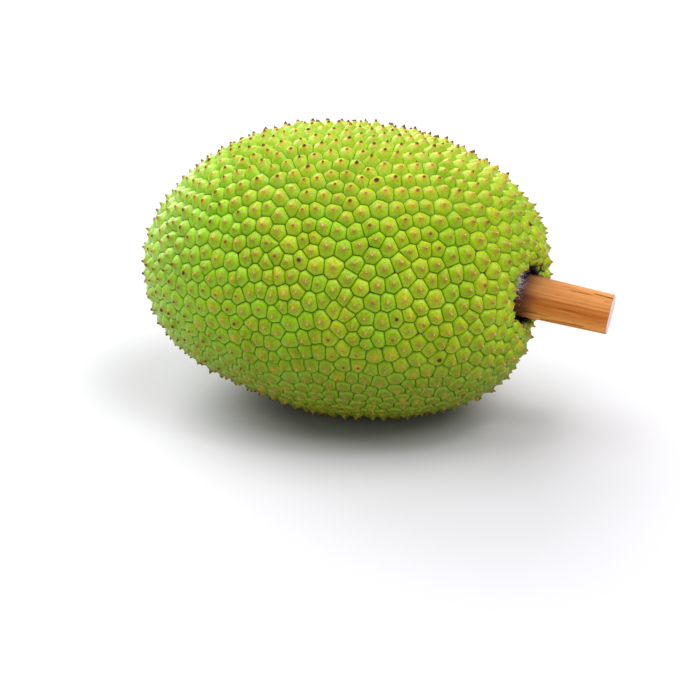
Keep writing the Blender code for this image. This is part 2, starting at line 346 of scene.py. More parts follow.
def hollow_share(points):
    """How much of the hollow's depth a point takes, from 0 outside it to 1 in its middle."""
    return 1 / (1 + (hollow_distance(points) / HOLLOW_RADIUS) ** HOLLOW_STEEPNESS)


def rind_normals(directions):
    away_from_x = np.abs(directions[:, :1]) < NEARLY_ALONG_X
    helper = np.where(away_from_x, [[1.0, 0, 0]], [[0, 1.0, 0]])
    first = unit(np.cross(directions, helper))
    second = np.cross(directions, first)
    slopes = []
    for side in (first, second):
        ahead = rind_points(unit(directions + side * SLOPE_STEP))
        behind = rind_points(unit(directions - side * SLOPE_STEP))
        slopes.append(ahead - behind)
    return unit(np.cross(slopes[0], slopes[1]))


def spiral_directions(height):
    """Directions along a spiral round a ball, given how far along X each one lies."""
    turn = np.arange(len(height)) * math.pi * (3 - math.sqrt(5))
    ring = np.sqrt(1 - height**2)
    return np.stack([height, ring * np.cos(turn), ring * np.sin(turn)], axis=1)


def cell_sizes(random, count):
    """Each cell's own size against the usual one: mostly alike, with some squeezed ones."""
    sizes = 1 + CELL_SPREAD * natural_spread(random, count)
    small = random.random(count) < SMALL_CELL_SHARE
    return np.where(small, SMALL_CELL_SIZE, sizes)


def usual_sizes(points):
    """How large a cell usually is at each point, against those far from the stem."""
    near = np.exp(-((hollow_distance(points) / HOLLOW_CELL_REACH) ** 2))
    return 1 - (1 - HOLLOW_CELL_SIZE) * near


def place_cells(random, count):
    """Directions of the cells' middles, pushed apart on the rind until they pack closely.

    They start along a spiral, as crowded in each place as they will be in the end.
    """
    samples = spiral_directions(1 - (2 * np.arange(AREA_SAMPLES) + 1) / AREA_SAMPLES)
    areas = rind_areas(samples)
    crowding = np.cumsum(areas / usual_sizes(rind_points(samples)) ** 2)
    rank = (np.arange(count) + 0.5) / count
    start = spiral_directions(np.interp(rank, crowding / crowding[-1], samples[:, 0]))
    directions = unit(start + START_JITTER * random.standard_normal((count, 3)))
    own_size = cell_sizes(random, count)
    for _ in range(RELAX_ROUNDS):
        points = rind_points(directions)
        size = own_size * usual_sizes(points)
        size = size * math.sqrt(areas.sum() / (2 * math.sqrt(3)) / np.sum(size**2))
        stretched = points * CELL_STRETCH
        others, gaps = nearest(stretched)
        wanted = size[:, None] + size[others]
        push = (CLOSEST_PACKING - gaps / wanted).clip(0, None) * size[:, None] * RELAX_STEP
        away = (stretched[:, None] - stretched[others]) / gaps[..., None] / CELL_STRETCH
        directions = unit(points + (away * push[..., None]).sum(axis=1))
    stray = CELL_SHUFFLE * natural_spread(random, (count, 3))
    return unit(rind_points(directions) + stray)


def nearest(points):
    """The numbers of each point's closest neighbours, and how far off they are."""
    tree = kdtree.KDTree(len(points))
    for number, point in enumerate(points):
        tree.insert(point, number)
    tree.balance()
    found = [tree.find_n(point, NEIGHBOURS + 1)[1:] for point in points]
    others = np.array([[item[1] for item in row] for row in found])
    gaps = np.array([[item[2] for item in row] for row in found])
    return others, gaps


def rind_areas(directions):
    """How much of the stretched rind each of these even directions stands for."""
    radius = np.linalg.norm(rind_points(directions), axis=1)
    normals = rind_normals(directions)
    facing = (directions * normals).sum(axis=1)
    stretch = np.linalg.norm(normals / CELL_STRETCH, axis=1) * CELL_STRETCH.prod()
    return 4 * math.pi / len(directions) * radius**2 / facing * stretch


def cell_corners(middles, triangles):
    """Where three cells meet, between the middle of their triangle and the point as far from all three."""
    first, second, third = rind_points(middles)[triangles].transpose(1, 0, 2)
    centre = (first + second + third) / 3
    side, other = second - first, third - first
    across = np.cross(side, other)
    lengths = [(edge * edge).sum(axis=1, keepdims=True) for edge in (side, other, across)]
    offset = (np.cross(across, side) * lengths[1] + np.cross(other, across) * lengths[0]) / (2 * lengths[2])
    equal = first + offset
    away = equal - centre
    reach = np.linalg.norm(away, axis=1, keepdims=True)
    away = away * np.minimum(1, FARTHEST_CORNER / reach.clip(1e-9, None))
    return unit(centre + CORNER_SHARPNESS * away)


def linked_cells(directions):
    """The triangles that join neighbouring cells, and for each cell those round it in order."""
    mesh = bmesh.new()
    for direction in directions:
        mesh.verts.new(direction)
    bmesh.ops.convex_hull(mesh, input=mesh.verts)
    mesh.verts.ensure_lookup_table()
    for vertex, point in zip(mesh.verts, rind_points(directions)):
        vertex.co = point
    bmesh.ops.beautify_fill(mesh, faces=mesh.faces[:], edges=mesh.edges[:], method="ANGLE")
    bmesh.ops.recalc_face_normals(mesh, faces=mesh.faces)
    mesh.faces.index_update()
    mesh.verts.index_update()
    triangles = [[vertex.index for vertex in face.verts] for face in mesh.faces]
    rounds = [faces_round(vertex) for vertex in mesh.verts]
    mesh.free()
    return np.array(triangles), rounds


def faces_round(vertex):
    start = vertex.link_loops[0]
    loop = start
    order = []
    while True:
        order.append(loop.face.index)
        loop = loop.link_loop_prev.link_loop_radial_next
        if loop == start:
            return order


def groove_net(middles):
    """Directions of the points along the grooves, and each cell's outline as their numbers.

    An outline goes from a corner to the middle of a side, to the next corner and so on.
    """
    triangles, rounds = linked_cells(middles)
    corners = cell_corners(middles, triangles)
    sides = {}
    outlines = []
    for order in rounds:
        outline = []
        for here, after in zip(order, order[1:] + order[:1]):
            side = (min(here, after), max(here, after))
            outline += [here, sides.setdefault(side, len(corners) + len(sides))]
        outlines.append(outline)
    ends = np.array(list(sides))
    return np.concatenate([corners, unit(corners[ends].mean(axis=1))]), outlines, len(corners)


# Helpers for modelling


def deselect_all():
    for item in bpy.context.selected_objects:
        item.select_set(False)


def choose(item):
    """Makes an object the only one selected, and the active one."""
    deselect_all()
    item.select_set(True)
    bpy.context.view_layer.objects.active = item


def read_points(data):
    points = np.empty(len(data.vertices) * 3)
    data.vertices.foreach_get("co", points)
    return points.reshape(-1, 3)


def write_points(data, points):
    data.vertices.foreach_set("co", np.asarray(points, np.float32).ravel())
    data.update()


def write_attribute(data, name, values):
    """Keeps one value a point on the mesh, for the material to read."""
    attribute = data.attributes.new(name, "FLOAT", "POINT")
    attribute.data.foreach_set("value", np.asarray(values, np.float32))


def finish_piece(item, material, nodes=()):
    """Gives a piece its finish, and ties it to the CAD body and to the nodes that it stands for."""
    item.data.materials.clear()
    item.data.materials.append(material)
    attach(item, "root")
    if nodes:
        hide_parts(*nodes)


def check_against_node(item, node, allowed):
    """Stops if a piece has strayed from the CAD node that it stands for."""
    points = read_points(item.data)
    made = np.array([points.min(axis=0), points.max(axis=0)])
    wanted = np.array([list(corner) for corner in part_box(node)])
    stray = float(np.abs(made - wanted).max())
    if stray > allowed:
        raise RuntimeError(f"{item.name} is {stray / MM:.1f} mm off its CAD node {node}")


def new_material(name):
    """An empty node tree with a shader and an output."""
    material = bpy.data.materials.new(name)
    material.use_nodes = True
    tree = material.node_tree
    tree.nodes.clear()
    shader = tree.nodes.new("ShaderNodeBsdfPrincipled")
    output = tree.nodes.new("ShaderNodeOutputMaterial")
    tree.links.new(shader.outputs["BSDF"], output.inputs["Surface"])
    return material, tree, shader


def add_node(tree, kind, settings=None, inputs=None, stops=()):
    """Adds a node. An input that is another node's output is linked, and any other is set.

    Stops are the places and colours on a colour ramp.
    """
    node = tree.nodes.new(kind)
    for name, value in (settings or {}).items():
        setattr(node, name, value)
    for name, value in (inputs or {}).items():
        if isinstance(value, bpy.types.NodeSocket):
            tree.links.new(value, node.inputs[name])
        else:
            node.inputs[name].default_value = (*value, 1) if isinstance(value, Color) else value
    for number, (place, colour) in enumerate(stops):
        ramp = node.color_ramp
        stop = ramp.elements[number] if number < len(ramp.elements) else ramp.elements.new(place)
        stop.position = place
        stop.color = (*colour, 1)
    return node


# The rind


def zone(points, name):
    """How far into a part of the rind points are, from 0 outside it to 1 where it is full."""
    places = {
        "along": points[:, 0] / HALF_LENGTH,
        "across": points[:, 1] / HALF_WIDTH,
        "up": points[:, 2] / HALF_WIDTH,
        "hollow": hollow_distance(points),
    }
    share = 1
    for way, start, full in ZONES[name]:
        share = share * smooth_step(start, full, places[way])
    return share


def cell_character(settings, middles):
    """What sets one cell apart from another: its height, its spine, the way it leans, its colours."""
    random = np.random.default_rng(settings.seed + 1)
    count = len(middles)
    points = rind_points(middles)
    normals = rind_normals(middles)
    zones = {name: zone(points, name) for name in ZONES}
    change = {
        trait: sum(effects.get(trait, 0) * zones[name] for name, effects in ZONE_EFFECTS.items())
        for trait in ("age", "dome", "spine", "girth")
    }
    age = USUAL_AGE + change["age"] + AGE_SPREAD * natural_spread(random, count)
    to_stem = np.array([1.0, 0, 0]) - normals * normals[:, :1]
    wander = random.standard_normal((count, 3))
    wander = wander - normals * (wander * normals).sum(axis=1, keepdims=True)
    lean = OWN_LEAN * wander + to_stem * (LEAN_TO_STEM + FORWARD_LEAN * zones["forward"])[:, None]
    kept_lean = 1 - LEAN_LOST_BY_STEM * zones["by_stem"] - LEAN_LOST_ON_RIM * zones["rim"]
    cells = {"lean": lean * kept_lean[:, None]}
    for trait, variation in CELL_VARIATION.items():
        own = 1 + variation * natural_spread(random, count)
        cells[trait] = own * (1 + change[trait]) * (1 - LOST_IN_HOLLOW[trait] * zones["rim"])
    cells["tint"] = random.uniform(-1, 1, count)
    cells["age"] = np.where(random.random(count) < DEAD_SHARE, OLDEST, age.clip(0, OLDEST))
    return cells


def ring_places(settings, ring, girth, outline, middle):
    """Where a ring's points lie at groove level, given the cell's outline and the girth of its spine."""
    spokes = outline - middle
    reach = np.linalg.norm(spokes, axis=1)
    size = min(1.0, float(reach.mean()) / USUAL_CELL_RADIUS)
    inset = np.full(len(reach), settings.groove_width * ring["inset"] * size)
    inset[::2] *= CORNER_INSET
    straight = reach - inset
    if ring["radius"] is None:
        round_reach = straight.mean()
    else:
        wanted = settings.spine_radius * ring["radius"] * girth * size
        round_reach = min(wanted, MOST_OF_CELL * straight.mean())
    distance = straight + (round_reach - straight) * ring["roundness"]
    return middle + spokes * (distance / reach)[:, None]


def model_net(settings):
    """The grooves as a mesh with one face a cell, each face then inset ring by ring and closed to a tip.

    Returns the object, the directions of the cells' middles and of the groove points, the cells' outlines,
    how many groove points are corners, the numbers of each ring's points, and the number of the first tip.
    """
    random = np.random.default_rng(settings.seed)
    middles = place_cells(random, settings.cell_count)
    net, outlines, corner_count = groove_net(middles)
    data = bpy.data.meshes.new("spiny_rind")
    data.from_pydata((rind_points(net) + FRUIT_CENTRE).tolist(), [], outlines)
    item = bpy.data.objects.new("spiny_rind", data)
    bpy.context.scene.collection.objects.link(item)
    choose(item)
    bpy.ops.object.mode_set(mode="EDIT")
    bpy.ops.mesh.select_mode(type="FACE")
    bpy.ops.mesh.select_all(action="SELECT")
    rings = []
    for _ in RINGS:
        bpy.ops.mesh.inset(thickness=INSET_STEP, use_individual=True)
        bpy.ops.object.mode_set(mode="OBJECT")
        rings.append([list(face.vertices) for face in data.polygons if face.select])
        bpy.ops.object.mode_set(mode="EDIT")
    tips = len(data.vertices)
    bpy.ops.mesh.poke()
    bpy.ops.object.mode_set(mode="OBJECT")
    if len(data.vertices) != tips + len(outlines):
        raise RuntimeError("the cells were not closed to one tip each")
    return item, middles, net, outlines, corner_count, rings, tips


def make_rind(settings):
    item, middles, net, outlines, corner_count, rings, tips = model_net(settings)
    data = item.data
    cells = cell_character(settings, middles)
    groove = rind_points(net)
    centres = rind_points(middles)
    count = len(data.vertices)

    flat = np.zeros((count, 3))
    flat[: len(net)] = groove
    owner = np.zeros(count, int)  # the number of the cell that each point is on
    for number, outline in enumerate(outlines):
        edge = groove[outline]
        middle = (centres[number] + edge[::2].mean(axis=0)) / 2
        for ring, numbers in zip(RINGS, rings):
            flat[numbers[number]] = ring_places(settings, ring, cells["girth"][number], edge, middle)
            owner[numbers[number]] = number
        flat[tips + number] = middle
        owner[[*outline, tips + number]] = number
    share = {name: np.zeros(count) for name in ("dome", "spine", "lean", "rise")}
    for name, values in share.items():
        for ring, numbers in zip(RINGS, rings):
            values[np.concatenate(numbers)] = ring[name]
        values[tips:] = 1

    rise = share["rise"]
    dome = (settings.dome_height * cells["dome"])[owner]
    spine = (settings.spine_height * cells["spine"])[owner]
    height = dome * share["dome"] + spine * share["spine"]
    lean = cells["lean"][owner] * share["lean"][:, None]
    directions = unit(flat)
    surface = rind_points(directions)
    sunk = DEEPER_GROOVES * zone(surface, "exposed") * (1 - rise) ** 2
    points = surface + rind_normals(directions) * (height - sunk)[:, None] + lean + FRUIT_CENTRE
    points[:, 2] = np.maximum(points[:, 2], CUSHION * (dome + spine - height))
    write_points(data, points)

    random = np.random.default_rng(settings.seed + 2)
    pit = np.zeros(count)
    near = np.exp(-((hollow_distance(groove[:corner_count]) / PIT_REACH) ** 4))
    pit[:corner_count] = random.random(corner_count) < PIT_SHARE + PITS_BY_HOLLOW * near
    # Painted shadow: the rind next to the stem is darkened to the hollow's colour
    painted_stem_shadow = smooth_step(*STEM_SHADOW, stem_distance(points - FRUIT_CENTRE)) * (surface[:, 0] > 0)
    along = surface[:, 0] / HALF_LENGTH
    ripening = np.where(along < 0, RIPER_TO_BLOSSOM, RIPER_TO_STEM) * along
    top_ripeness_and_painted_light = zone(surface, "top_ripeness_and_painted_light")
    for name, values in {
        "rise": rise,
        "tint": np.where(rise > 0, cells["tint"][owner], 0),
        "age": np.where(rise > 0, cells["age"][owner], 0),
        "pit": pit,
        # painted shade deep in the hollow and painted shadow beside the stem, partly dark dried tissue
        "hollow": np.maximum(zone(surface, "deep"), STEM_SHADOW_STRENGTH * painted_stem_shadow),
        "ripe": ripening + RIPER_UP * surface[:, 2] / HALF_WIDTH,
        # partly dark tissue, partly painted shade in the grooves round the hollow
        "dark_by_hollow": zone(surface, "darkened"),
        # painted shade on the underside
        "shade": zone(surface, "shaded"),
        # painted light over the top of the fruit
        "top_ripeness_and_painted_light": top_ripeness_and_painted_light,
        # partly wax bloom towards the blossom end, partly painted sheen there and over the top
        "wax_bloom_and_painted_sheen": np.maximum(zone(surface, "blossom_end"), TOP_PAINTED_SHEEN * top_ripeness_and_painted_light),
    }.items():
        write_attribute(data, name, values)
    data.shade_smooth()
    return item


def rind_material(settings):
    """Breadfruit rind, a living skin grown in cells that each end in a corky spine.

    The eye gets a satin wax over greens that drift from cell to cell, pale edges that are partly painted
    sheen, dark grooves that are partly painted shade, an olive or yellow patch round each spine, and a matt
    brown spine whose pale end is partly a painted glint. Painted shade darkens the underside and the hollow,
    a painted shadow lies beside the stem, and pale painted sheen and lighter halos lie over the top.
    """
    material, tree, shader = new_material("waxy_breadfruit_rind")
    place = add_node(tree, "ShaderNodeTexCoord").outputs["Object"]
    values = {
        name: add_node(tree, "ShaderNodeAttribute", {"attribute_name": name}).outputs["Fac"]
        for name in ("rise", "tint", "age", "pit", "hollow", "ripe", "dark_by_hollow", "shade", "top_ripeness_and_painted_light", "wax_bloom_and_painted_sheen")
    }

    # Patterns. Skin pores and wax grain are some 0.1 mm, and are drawn as coarse as they need to show.
    for name, size, detail in (
        ("patches", 22 * MM, 2.0),
        ("flecks", 0.9 * MM, 4.0),
        ("grain", 0.8 * MM, 3.0),
        ("bloom_spots", 1.6 * MM, 4.0),
        ("blotches", 1.7 * MM, 2.0),
    ):
        values[name] = add_node(
            tree, "ShaderNodeTexNoise", inputs={"Vector": place, "Scale": 1 / size, "Detail": detail}
        ).outputs["Fac"]

    # Mixed values: so much of the first, added to the second
    for name, first, share, second in (
        ("cell_drift", "tint", 0.18, "patches"),
        ("drift", "ripe", 1.0, "cell_drift"),
        ("ragged_rise", "blotches", 0.36, "rise"),
        ("aged_rise", "age", 0.13, "rise"),
    ):
        values[name] = add_node(
            tree,
            "ShaderNodeMath",
            {"operation": "MULTIPLY_ADD"},
            {0: values[first], 1: share, 2: values[second]},
        ).outputs[0]

    # Masks: as a value goes from low to high, the mask goes from its start to its end
    for name, value, low, high, start, end, kind in (
        # painted shade: the underside darkens, up to 0.95 of the way
        ("shaded", "shade", 0.0, 1.0, 0.0, 0.95, "LINEAR"),
        ("flecked", "flecks", 0.45, 0.7, 0.0, 0.5, "LINEAR"),
        ("paled", "flecks", 0.45, 0.3, 0.0, 0.45, "LINEAR"),
        # pale bloom, partly painted sheen
        ("bloom_and_sheen_share", "bloom_spots", 0.38, 0.68, 0.0, "wax_bloom_and_painted_sheen", "LINEAR"),
        # the groove's own colour and painted shade in the crease
        ("groove_and_painted_shade", "rise", 0.0, 0.15, 1.0, 0.0, "SMOOTHSTEP"),
        # grooves round the hollow darkened: partly dark tissue, partly painted shade
        ("darkened", "rise", 0.05, 0.3, "dark_by_hollow", 0.0, "SMOOTHSTEP"),
        # riper halos on some cells, and over the top as painted light
        ("riper", "tint", 0.3, 1.0, "top_ripeness_and_painted_light", 0.6, "LINEAR"),
        ("spined", "aged_rise", 0.85, 0.955, 0.0, 0.95, "SMOOTHSTEP"),
        ("young", "age", 0.22, 0.4, 0.85, 0.0, "SMOOTHSTEP"),
        # pale spine ends, partly a painted glint
        ("end_and_painted_glint_share", "rise", 0.92, 0.98, 0.0, "young", "SMOOTHSTEP"),
        ("pitted", "pit", 0.1, 0.6, 0.0, 0.95, "SMOOTHSTEP"),
        ("gloss", "flecks", 0.3, 0.7, 0.28, 0.4, "LINEAR"),
    ):
        values[name] = add_node(
            tree,
            "ShaderNodeMapRange",
            {"interpolation_type": kind},
            {
                "Value": values[value],
                "From Min": low,
                "From Max": high,
                "To Min": values.get(start, start),
                "To Max": values.get(end, end),
            },
        ).outputs["Result"]

    # Ramps: the skin from greener to yellower, the spine from orange through brown to nearly black, and how
    # much of the pale rim, partly painted sheen, and of the patch round the spine shows on the way up a cell
    young, brown, dead = settings.spine_young, settings.spine_brown, settings.spine_dead
    for name, value, stops in (
        ("skin", "drift", ((0.24, settings.greener_skin_and_painted_light), (0.5, settings.skin), (0.76, settings.skin_yellow))),
        ("spine", "age", ((0.12, young), (0.46, brown), (0.85, dead))),
        ("rim_and_painted_sheen", "rise", ((0.10, (0,) * 3), (0.22, (0.6,) * 3), (0.34, (0.4,) * 3), (0.5, (0.08,) * 3))),
        ("haloed", "ragged_rise", ((0.58, (0,) * 3), (0.80, (0.32,) * 3), (1.0, (0.9,) * 3))),
    ):
        values[name] = add_node(
            tree, "ShaderNodeValToRGB", inputs={"Fac": values[value]}, stops=stops
        ).outputs["Color"]

    # Coats, each over those before it
    halo = add_node(
        tree,
        "ShaderNodeMix",
        {"data_type": "RGBA"},
        {0: values["riper"], 6: settings.halo, 7: settings.halo_ripe},
    ).outputs[2]
    colour = values["skin"]
    for mask, coat in (
        # painted shade underneath, then the skin's own darker flecks
        ("shaded", settings.skin_dark_and_painted_shade),
        ("flecked", settings.skin_dark_and_painted_shade),
        ("paled", settings.rim),
        # pale bloom and painted sheen
        ("bloom_and_sheen_share", settings.wax_bloom_and_painted_sheen),
        # pale cell edges, partly painted sheen
        ("rim_and_painted_sheen", settings.rim),
        # dark grooves, partly painted shade
        ("groove_and_painted_shade", settings.groove),
        # dark grooves round the hollow, partly painted shade
        ("darkened", settings.hollow),
        ("haloed", halo),
        ("spined", values["spine"]),
        # pale spine ends, partly a painted glint
        ("end_and_painted_glint_share", settings.spine_end_and_painted_glint),
        ("pitted", settings.scab),
        # painted shade and shadow in the hollow and beside the stem, partly dark dried tissue
        ("hollow", settings.hollow),
    ):
        colour = add_node(
            tree, "ShaderNodeMix", {"data_type": "RGBA"}, {0: values[mask], 6: colour, 7: coat}
        ).outputs[2]
    tree.links.new(colour, shader.inputs["Base Color"])

    # Wax is satin and a little uneven, and cork is matt
    bump = add_node(
        tree, "ShaderNodeBump", inputs={"Height": values["grain"], "Strength": 0.5, "Distance": 0.15 * MM}
    ).outputs["Normal"]
    tree.links.new(bump, shader.inputs["Normal"])
    roughness = add_node(
        tree,
        "ShaderNodeMath",
        {"operation": "MULTIPLY_ADD"},
        {0: values["spined"], 1: 0.35, 2: values["gloss"]},
    ).outputs[0]
    tree.links.new(roughness, shader.inputs["Roughness"])
    shader.inputs["IOR"].default_value = 1.3
    return material


class OBJECT_OT_breadfruit_rind(bpy.types.Operator):
    """Models the rind: cells with grooves between them, each domed and ending in a spine"""

    bl_idname = "breadfruit.rind"
    bl_label = "Rind"

    def execute(self, context):
        settings = context.scene.breadfruit_rind
        item = make_rind(settings)
        check_against_node(item, "fruit", 3 * MM)
        finish_piece(item, rind_material(settings), ["fruit"])
        return {"FINISHED"}


# The stem


STEM_SIDES = 320
STEM_RINGS = 56
STEM_EDGE = 0.5 * MM  # the softened edge of each end
EDGE_DROP = 0.6  # of the softened edge, how far it falls back along the stem
CUT_INSETS = 5
AT_END = 0.01 * MM
STEM_SEED = 5

# Shares of the stem's radius, from the middle of a sawn face out to its edge
SIDE = (0.9, 1.0)  # where the ridges grow in
FALLING_EDGE = (0.93, 1.0)
CUT_EDGE = (0.96, 1.0)  # where the sawn face gives way to the side

RIDGE_WAVES = (9, 13, 17, 23, 29, 37)  # how many ridges go round the stem, from the widest to the finest
RIDGES_TOGETHER = 2.2  # how high they stand on each other, in ridges
RIDGE_WANDER = 0.8  # how far a ridge strays, in radians of its wave
RIDGE_WANDER_LENGTH = 14 * MM
SPLIT_WANDER = 0.03  # how far a split strays round the stem, in radians
SPLIT_WANDER_LENGTH = 6  # in millimetres
SPLIT_WANDER_TURN = 7  # makes each split stray in its own way
SPLIT_OPENS = 3  # how far past its start a split is fully open, in millimetres
SPLIT_CLOSES = (0.1, -2.5)  # where it is shut and where it is still fully open, past its end
DARKEST_SPLIT = 0.55  # how deep a split is when it is darkest, in millimetres
STEM_SPLITS = (
    # where it is round the stem in radians, its start, end and depth in millimetres, its width in radians
    (1.84, 25, 38, 0.50, 0.028),
    (1.96, 14, 27, 0.30, 0.026),
    (2.10, 30, 36, 0.25, 0.026),
    (1.78, 10, 21, 0.25, 0.026),
    (2.38, 9, 13, 0.30, 0.026),
    (-2.96, 25.5, 29.5, 0.40, 0.028),
    (-2.56, -4, 26, 0.45, 0.045),
    (-2.36, 4, 38, 0.50, 0.065),
    (-2.80, -4, 10, 0.35, 0.028),
    (0.86, 20, 38, 0.45, 0.028),
    (0.30, -2, 9, 0.40, 0.028),
    (-0.15, 24, 29, 0.40, 0.028),
    (-0.84, 6, 38, 0.50, 0.028),
    (-1.50, 0, 30, 0.45, 0.028),
)
SAW_DEPTH = 0.12 * MM
SAW_MARKS = (1.1 * MM, 2.5 * MM)  # how far across and up the face the marks turn by a radian
STEM_SMOOTH_ANGLE = math.radians(40)


def stem_turn():
    return STEM_DIRECTION.to_track_quat("X", "Z").to_matrix()


def stem_radius(settings, along, angle):
    """The stem's radius at a distance from its start, thicker towards its foot and gently fluted."""
    radius = settings.end_radius + STEM_TAPER * (STEM_LENGTH_OUT - along)
    for waves, height, turn in STEM_FLUTES:
        radius = radius + height * np.cos(waves * angle + turn)
    return radius


def model_cylinder(settings):
    """A cylinder as long as the stem, ringed along its length, its end faces inset and closed to a middle."""
    deselect_all()
    bpy.ops.mesh.primitive_cylinder_add(
        vertices=STEM_SIDES,
        radius=settings.end_radius,
        depth=STEM_LENGTH_OUT + STEM_LENGTH_IN,
        end_fill_type="NGON",
        location=(0, 0, (STEM_LENGTH_OUT - STEM_LENGTH_IN) / 2),
    )
    item = bpy.context.active_object
    item.name = item.data.name = "cut_stem"
    bpy.ops.object.transform_apply(location=True, rotation=True, scale=True)
    bpy.ops.object.mode_set(mode="EDIT")
    bpy.ops.mesh.select_all(action="DESELECT")
    bpy.ops.object.mode_set(mode="OBJECT")
    for edge in item.data.edges:
        low, high = (item.data.vertices[number].co for number in edge.vertices)
        edge.select = abs(low.z - high.z) > settings.end_radius
    bpy.ops.object.mode_set(mode="EDIT")
    bpy.ops.mesh.subdivide(number_cuts=STEM_RINGS)
    bpy.ops.mesh.select_all(action="DESELECT")
    bpy.ops.object.mode_set(mode="OBJECT")
    for face in item.data.polygons:
        face.select = abs(face.normal.z) > 0.9
    bpy.ops.object.mode_set(mode="EDIT")
    bpy.ops.mesh.select_mode(type="FACE")
    for step in (STEM_EDGE, STEM_EDGE, *[settings.end_radius / (CUT_INSETS + 2)] * CUT_INSETS):
        bpy.ops.mesh.inset(thickness=step)
    bpy.ops.mesh.poke()
    bpy.ops.object.mode_set(mode="OBJECT")
    return item


def stem_ridges(settings, random, along, angle):
    """How far the side stands out at each point for its ridges and splits, and how split it is there."""
    ridges = np.zeros(len(along))
    for waves in RIDGE_WAVES:
        wander = RIDGE_WANDER * np.sin(along / RIDGE_WANDER_LENGTH + random.uniform(0, 6))
        wander = wander * random.uniform(0.3, 1)
        ridges += np.cos(waves * angle + wander + random.uniform(0, 6)) / math.sqrt(waves / RIDGE_WAVES[0])
    ridges *= settings.ridge_height / RIDGES_TOGETHER
    crack = np.zeros(len(along))
    along = along / MM
    for place, start, end, depth, width in STEM_SPLITS:
        bend = SPLIT_WANDER * np.sin(along / SPLIT_WANDER_LENGTH + place * SPLIT_WANDER_TURN)
        aside = (angle - place - bend + math.pi) % (2 * math.pi) - math.pi
        opening = smooth_step(start, start + SPLIT_OPENS, along)
        closing = smooth_step(end + SPLIT_CLOSES[0], end + SPLIT_CLOSES[1], along)
        own = np.exp(-((aside / width) ** 2)) * opening * closing
        crack = np.maximum(crack, own * depth / DARKEST_SPLIT)
        ridges -= depth * MM * own
    return ridges, crack


def make_stem(settings):
    item = model_cylinder(settings)
    data = item.data
    points = read_points(data)
    across, up, along = points.T
    angle = np.arctan2(up, across)
    share = np.hypot(across, up) / settings.end_radius
    side = smooth_step(*SIDE, share)
    ridges, crack = stem_ridges(settings, np.random.default_rng(STEM_SEED), along, angle)
    radius = share * stem_radius(settings, along, angle) + ridges * side
    saw = SAW_DEPTH * np.sin(across / SAW_MARKS[0] + up / SAW_MARKS[1]) * (1 - side)
    at_end = along > STEM_LENGTH_OUT - AT_END
    along = along + np.where(at_end, saw - STEM_EDGE * EDGE_DROP * smooth_step(*FALLING_EDGE, share), 0)
    grown = np.stack([along, radius * np.cos(angle), radius * np.sin(angle)], axis=1)
    write_points(data, grown @ np.array(stem_turn()).T + np.array(STEM_START) + FRUIT_CENTRE)

    attribute = data.attributes.new("grain", "FLOAT_VECTOR", "POINT")
    attribute.data.foreach_set("vector", grown.astype(np.float32).ravel())
    write_attribute(data, "crack", crack * side)
    write_attribute(data, "cut", np.where(at_end, 1 - smooth_step(*CUT_EDGE, share), 0))
    choose(item)
    bpy.ops.object.shade_smooth_by_angle(angle=STEM_SMOOTH_ANGLE)
    return item


